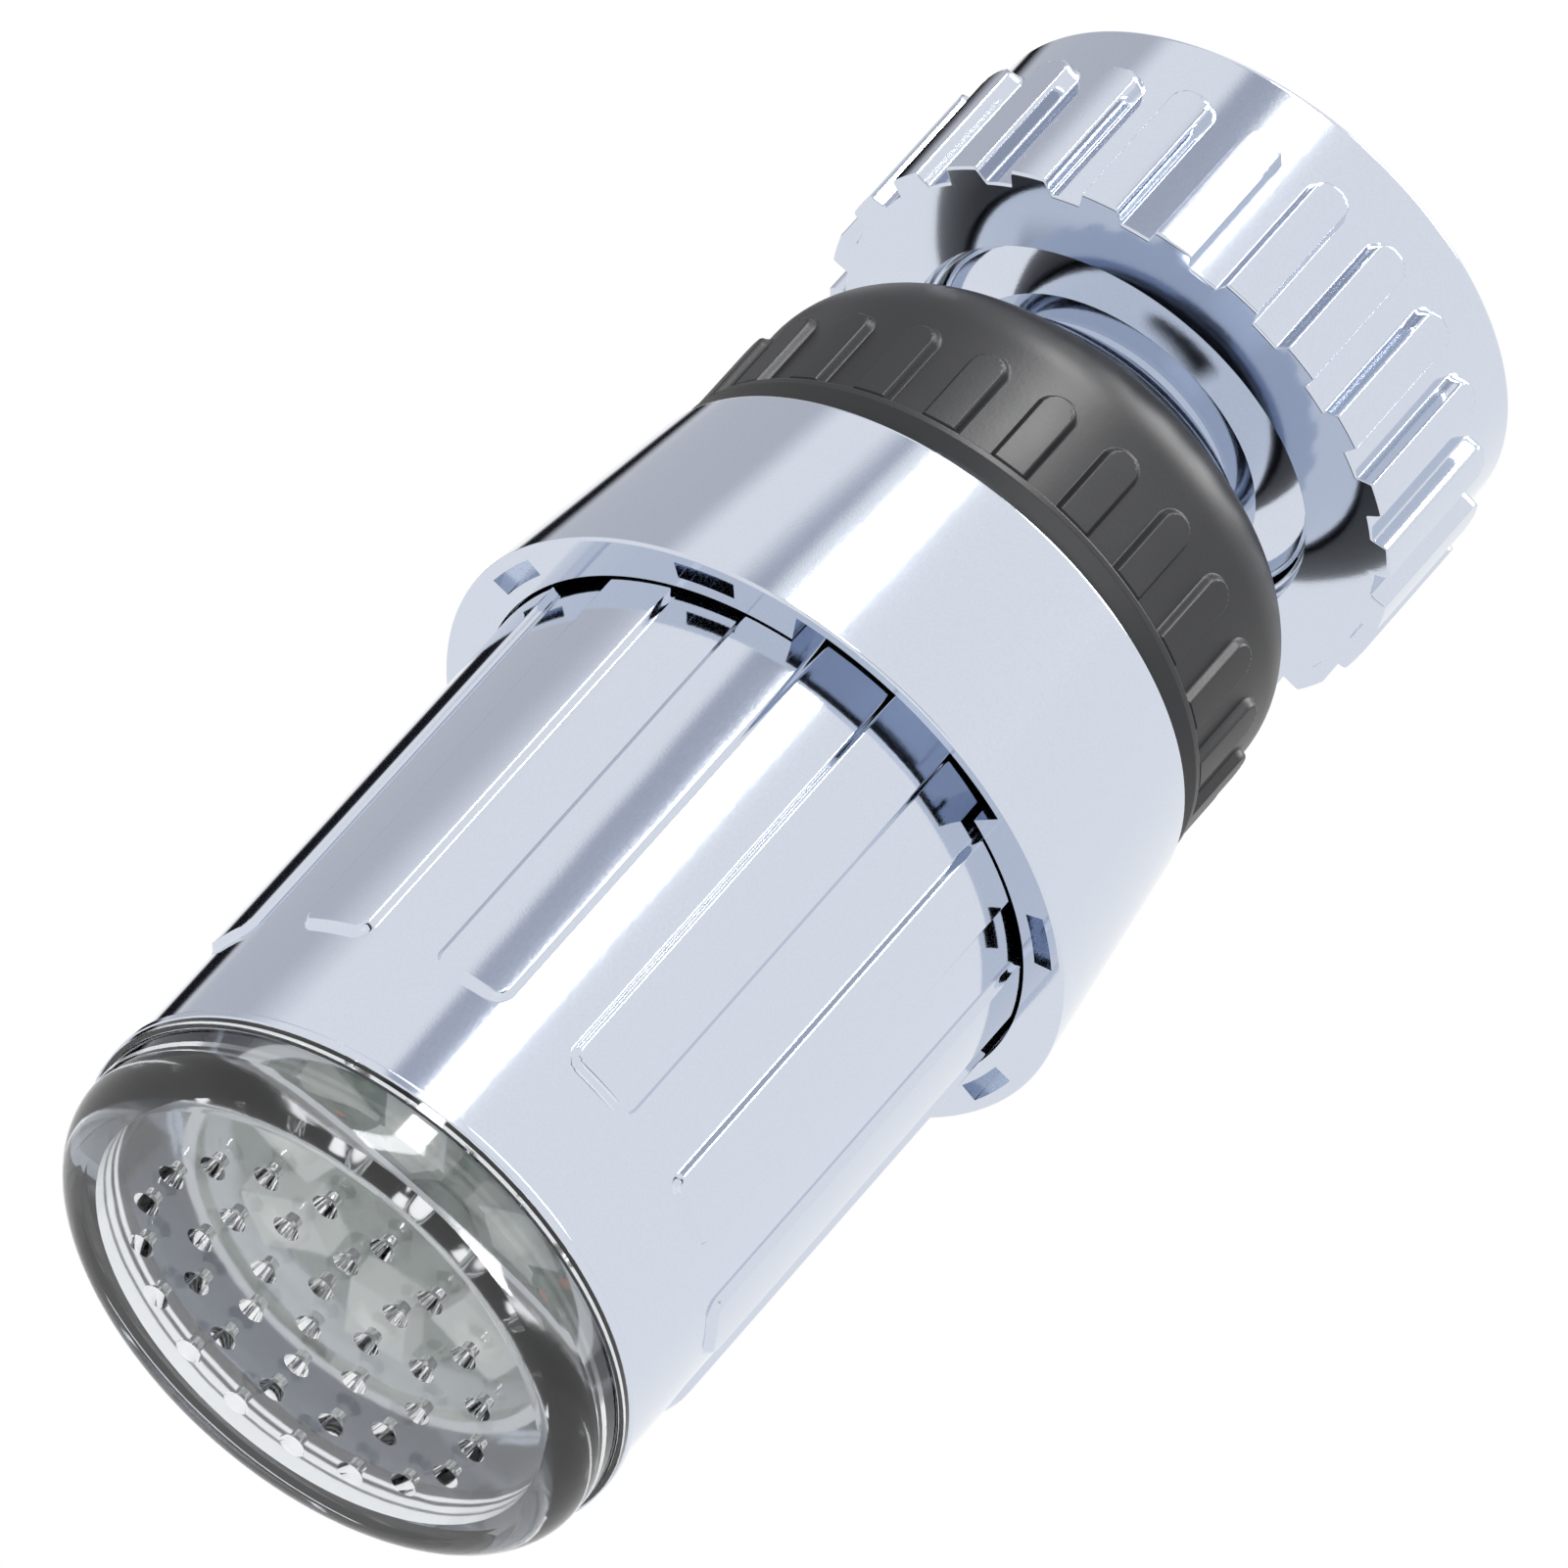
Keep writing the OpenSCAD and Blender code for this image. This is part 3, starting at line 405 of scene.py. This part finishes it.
def make_shell():
    """Conical shell: a lower rim with short air slots and one long one, the screw collar above it and
    the sleeve with its ledge inside."""
    seat = SEAT_R + 0.05
    rise = math.degrees(math.acos((Z_COLLAR - Z_BALL) / seat))
    drop = math.degrees(math.acos((Z_SHELL_TOP + 0.12 - Z_BALL) / seat))
    bowl = [(seat * math.sin(math.radians(a)), Z_BALL + seat * math.cos(math.radians(a)))
            for a in levels(rise, drop, 4)]
    outside = rounded([(SHELL_LOW_R, Z_SHELL, 0.13), (SHELL_TOP_R, Z_SHELL_TOP, 0.25),
                       (COLLAR_R, Z_SHELL_TOP, 0.1), (COLLAR_R, Z_COLLAR, 0.15), (bowl[0][0], Z_COLLAR, 0),
                       (SHELL_BORE, Z_SHELL, 0)], 5)[:-2]
    inside = [(SLEEVE_R, Z_SHELL_TOP - 0.1), (SLEEVE_R, Z_LEDGE), (LEDGE_R, Z_LEDGE), (LEDGE_R, Z_SLEEVE),
              (PUSH_R, Z_SLEEVE), (PUSH_R, Z_SHELL_IN), (NARROW_R, Z_SHELL_IN), (NARROW_R, Z_NARROW),
              (SHELL_BORE, Z_NARROW), (SHELL_BORE, Z_SHELL + SLOT_DEEP + 0.04)]
    slot_mid = (SHELL_BORE + SHELL_LOW_R) / 2
    low, high = slot_mid - SLOT_D / 2, slot_mid + SLOT_D / 2
    rim = [(r, Z_SHELL) for r in (SHELL_BORE, SHELL_BORE + 0.03, low - 0.01, low + 0.01, high - 0.01,
                                  high + 0.01, LONG_SLOT_R - 0.01, LONG_SLOT_R + 0.01)]
    profile = outside + bowl + inside + rim
    first_rim = len(profile) - len(rim)
    slot_half = math.asin(SLOT_W / 2 / slot_mid)
    long_mid, long_half = math.radians(LONG_SLOT_TURN), math.radians(LONG_SLOT_HALF)
    mids = [2 * math.pi * i / SLOT_N for i in range(SLOT_N)]

    def away(a, mid):
        return abs((a - mid + math.pi) % (2 * math.pi) - math.pi)

    def shift(a, r, z, k):
        if k < first_rim:
            return 0.0, 0.0
        in_long = r < LONG_SLOT_R and away(a, long_mid) < long_half
        in_short = low < r < high and any(away(a, mid) < slot_half for mid in mids)
        return 0.0, SLOT_DEEP if in_long or in_short else 0.0

    edges = [mid + s * slot_half for mid in mids for s in (-1, 1)
             if away(mid, long_mid) > long_half]
    edges += [long_mid - long_half, long_mid + long_half]
    angles = edge_angles(edges, 0.0012, math.radians(2))
    obj = turned("shell_skin", profile, angles, shift, flat=set(range(first_rim - 1, len(profile) - 1)))
    return take_over(obj, "upper_shell", "light_body", chrome)


def make_ring():
    """Black screw ring with 24 raised grip ribs, a foot and a domed shoulder round the ball."""
    flank, dome = 0.3, 3.6
    foot_r, foot_top, under_h, under = RING_R + GRIP_H + 0.06, Z_RING + 1.2, 0.85, 0.6
    rib_top = Z_ROUND - 2.0 + 0.9
    foot = rounded([(12.0, Z_RING, 0.05), (foot_r - under, Z_RING, 0.08), (foot_r, Z_RING + under_h, 0.1),
                    (foot_r, foot_top, 0.12), (RING_R, foot_top, 0.1), (RING_R, foot_top + 1.5, 0)], 4)[:-1]
    wall = [(RING_R, z) for z in levels(foot_top + 0.12, rib_top - 1.1, 0.5)]
    wall += [(RING_R, z) for z in levels(rib_top - 1.0, rib_top + 0.3, 0.1)]
    wall += [(RING_R, Z_ROUND - 0.3)]
    shoulder = []
    limit = math.acos((OPEN_R + 0.1 - RING_R + dome) / dome)
    for k in range(19):
        a = limit * k / 18
        shoulder.append((RING_R - dome + dome * math.cos(a), Z_ROUND + dome * math.sin(a)))
    z_edge = shoulder[-1][1]
    mouth = [(OPEN_R + 0.02, z_edge - 0.03), (OPEN_R, z_edge - 0.12)]
    seat = []
    low = math.acos((Z_LIP - 0.05 - Z_BALL) / SEAT_R)
    high = math.acos((Z_COLLAR + 0.3 - Z_BALL) / SEAT_R)
    for k in range(13):
        a = low + (high - low) * k / 12
        seat.append((SEAT_R * math.sin(a), Z_BALL + SEAT_R * math.cos(a)))
    bore = [(12.0, Z_COLLAR + 0.3)]
    profile = foot + wall + shoulder + mouth + seat + bore
    first, last = len(foot), len(foot) + len(wall)

    def shift(a, r, z, k):
        if first <= k < last:
            d = nearest_rib(a, GRIP_N, GRIP_TURN, RING_R)
            return GRIP_H * pad_height(d, z - foot_top, GRIP_W, rib_top - foot_top, GRIP_W / 2, flank), 0.0
        return 0.0, 0.0

    angles = rib_angles(GRIP_N, GRIP_TURN, RING_R, GRIP_W, flank)
    obj = turned("ring_skin", profile, angles, shift)
    return take_over(obj, "retaining_ring", "light_body", black_abs)


make_nut()
make_barrel()
make_shell()
make_ring()


def make_floor():
    """Pale floor that is solid from above and open from below, where the picture is taken from."""
    mesh = bpy.data.meshes.new("floor")
    half = 4.0
    mesh.from_pydata([(-half, -half, -0.0002), (half, -half, -0.0002), (half, half, -0.0002),
                      (-half, half, -0.0002)], [], [(0, 1, 2, 3)])
    obj = bpy.data.objects.new("floor", mesh)
    bpy.context.scene.collection.objects.link(obj)
    mat, t = new_material("pale_floor")
    rays = add(t, "ShaderNodeLightPath").outputs
    place = add(t, "ShaderNodeTexCoord").outputs["Object"]
    far = add(t, "ShaderNodeVectorMath", {"operation": "LENGTH"}, i0=place)
    fade = add(t, "ShaderNodeMapRange", {"interpolation_type": "SMOOTHSTEP"}, Value=far.outputs["Value"],
               From_Min=0.10, From_Max=0.45)
    mirror_rays = add(t, "ShaderNodeMath", {"operation": "MAXIMUM"}, i0=rays["Is Glossy Ray"],
                      i1=rays["Is Transmission Ray"])
    plain = add(t, "ShaderNodeMath", {"operation": "MAXIMUM"}, i0=fade.outputs["Result"],
                i1=mirror_rays.outputs[0])
    matt = add(t, "ShaderNodeBsdfDiffuse", Color=linear("#F2F2F0"))
    white = add(t, "ShaderNodeEmission", Color=linear("#FFFFFF"), Strength=1.0)
    top = add(t, "ShaderNodeMixShader", i0=plain.outputs[0], i1=matt.outputs[0], i2=white.outputs[0])
    clear_back = add(t, "ShaderNodeBsdfTransparent")
    back = add(t, "ShaderNodeNewGeometry").outputs["Backfacing"]
    both = add(t, "ShaderNodeMixShader", i0=back, i1=top.outputs[0], i2=clear_back.outputs[0])
    finish_material(t, both)
    obj.data.materials.append(mat)
    obj.visible_shadow = False
    obj.visible_diffuse = False


# direction from the light to the camera, and the picture's own axes on the object
VIEW_AZ, VIEW_EL = math.radians(-100), math.radians(-32.7)
toward = Vector((math.cos(VIEW_EL) * math.cos(VIEW_AZ), math.cos(VIEW_EL) * math.sin(VIEW_AZ),
                 math.sin(VIEW_EL)))
across = (-toward).cross(Vector((0, 0, 1))).normalized()
along = across.cross(-toward).normalized()


def make_camera():
    """Long lens below the light, turned so that the axis runs from lower left to upper right."""
    data = bpy.data.cameras.new("camera")
    data.lens, data.sensor_width = 514.0, 36.0
    data.clip_start, data.clip_end = 0.05, 20.0
    cam = bpy.data.objects.new("camera", data)
    bpy.context.scene.collection.objects.link(cam)
    right = across * 0.7455 + along * 0.6665
    up = along * 0.7455 - across * 0.6665
    target = Vector((0, 0, 33.79 * MM)) - across * (0.3 * MM)
    place = target + toward * 0.9
    cam.matrix_world = Matrix((
        (right.x, up.x, toward.x, place.x), (right.y, up.y, toward.y, place.y),
        (right.z, up.z, toward.z, place.z), (0, 0, 0, 1)))
    bpy.context.scene.camera = cam


def polar(azimuth, elevation, distance):
    a, e = math.radians(azimuth), math.radians(elevation)
    return Vector((math.cos(e) * math.cos(a), math.cos(e) * math.sin(a), math.sin(e))) * distance


MIDDLE = Vector((0, 0, 34 * MM))


def aim(obj, place):
    obj.location = place
    obj.rotation_mode = "QUATERNION"
    obj.rotation_quaternion = (MIDDLE - place).to_track_quat("-Z", "Z")


def lamp(name, azimuth, elevation, distance, width, height, watts, colour="#FFFFFF"):
    data = bpy.data.lights.new(name, "AREA")
    data.shape, data.size, data.size_y = "RECTANGLE", width, height
    data.energy, data.color = watts, linear(colour)[:3]
    obj = bpy.data.objects.new(name, data)
    bpy.context.scene.collection.objects.link(obj)
    aim(obj, MIDDLE + polar(azimuth, elevation, distance))
    obj.visible_camera = False
    return obj


def card(name, azimuth, elevation, distance, width, height, colour, strength=1.0):
    """Studio card that only shows in polished surfaces."""
    mesh = bpy.data.meshes.new(name)
    w, h = width / 2, height / 2
    mesh.from_pydata([(-w, -h, 0), (w, -h, 0), (w, h, 0), (-w, h, 0)], [], [(0, 1, 2, 3)])
    obj = bpy.data.objects.new(name, mesh)
    bpy.context.scene.collection.objects.link(obj)
    mat, t = new_material(name)
    place = add(t, "ShaderNodeTexCoord").outputs["Generated"]
    parts = add(t, "ShaderNodeSeparateXYZ", Vector=place)
    soft = None
    for axis, edge in ((0, 0.25), (1, 0.2)):
        away = add(t, "ShaderNodeMath", {"operation": "PINGPONG"}, i0=parts.outputs[axis], i1=0.5)
        ramp = add(t, "ShaderNodeMapRange", {"interpolation_type": "SMOOTHSTEP"}, Value=away.outputs[0],
                   From_Min=0.0, From_Max=edge)
        soft = ramp.outputs[0] if soft is None else add(
            t, "ShaderNodeMath", {"operation": "MULTIPLY"}, i0=soft, i1=ramp.outputs[0]).outputs[0]
    glow = add(t, "ShaderNodeEmission", Color=linear(colour), Strength=strength)
    through = add(t, "ShaderNodeBsdfTransparent")
    finish_material(t, add(t, "ShaderNodeMixShader", i0=soft, i1=through.outputs[0], i2=glow.outputs[0]))
    mesh.materials.append(mat)
    aim(obj, MIDDLE + polar(azimuth, elevation, distance))
    obj.visible_camera = obj.visible_diffuse = obj.visible_shadow = obj.visible_transmission = False
    return obj


def make_world():
    world = bpy.data.worlds.new("studio")
    bpy.context.scene.world = world
    world.use_nodes = True
    t = world.node_tree
    t.nodes.clear()
    rays = add(t, "ShaderNodeLightPath").outputs
    shown = add(t, "ShaderNodeMath", {"operation": "MAXIMUM"}, i0=rays["Is Camera Ray"],
                i1=rays["Is Glossy Ray"])
    shown = add(t, "ShaderNodeMath", {"operation": "MAXIMUM"}, i0=shown.outputs[0],
                i1=rays["Is Transmission Ray"])
    soft = add(t, "ShaderNodeBackground", Color=linear("#F4F6FA"), Strength=0.55)
    plain = add(t, "ShaderNodeBackground", Color=linear("#FFFFFF"), Strength=1.0)
    mix = add(t, "ShaderNodeMixShader", i0=shown.outputs[0], i1=soft.outputs[0], i2=plain.outputs[0])
    out = t.nodes.new("ShaderNodeOutputWorld")
    t.links.new(mix.outputs[0], out.inputs["Surface"])


FRONT = -100
make_floor()
make_world()
make_camera()
lamp("strip_lamp", FRONT - 26, 40, 0.8, 0.12, 0.5, 4.0)
lamp("top_lamp", FRONT + 40, 70, 1.0, 0.5, 0.5, 6.0)
lamp("low_lamp", FRONT + 15, -35, 1.0, 0.5, 0.5, 5.0)
card("grey_side_card", FRONT - 118, 38, 0.7, 0.62, 0.7, "#E3E4EA", 0.78)
card("slate_card", FRONT - 41, 36, 0.75, 0.14, 0.6, "#D0D4E2", 0.75)
card("dark_card", FRONT - 153, 31, 0.65, 0.22, 0.2, "#15161C", 1.0)
card("camera_side_card", FRONT, -20, 0.8, 1.1, 1.1, "#0C0D10", 1.0)

bpy.context.scene.view_settings.view_transform = "Standard"
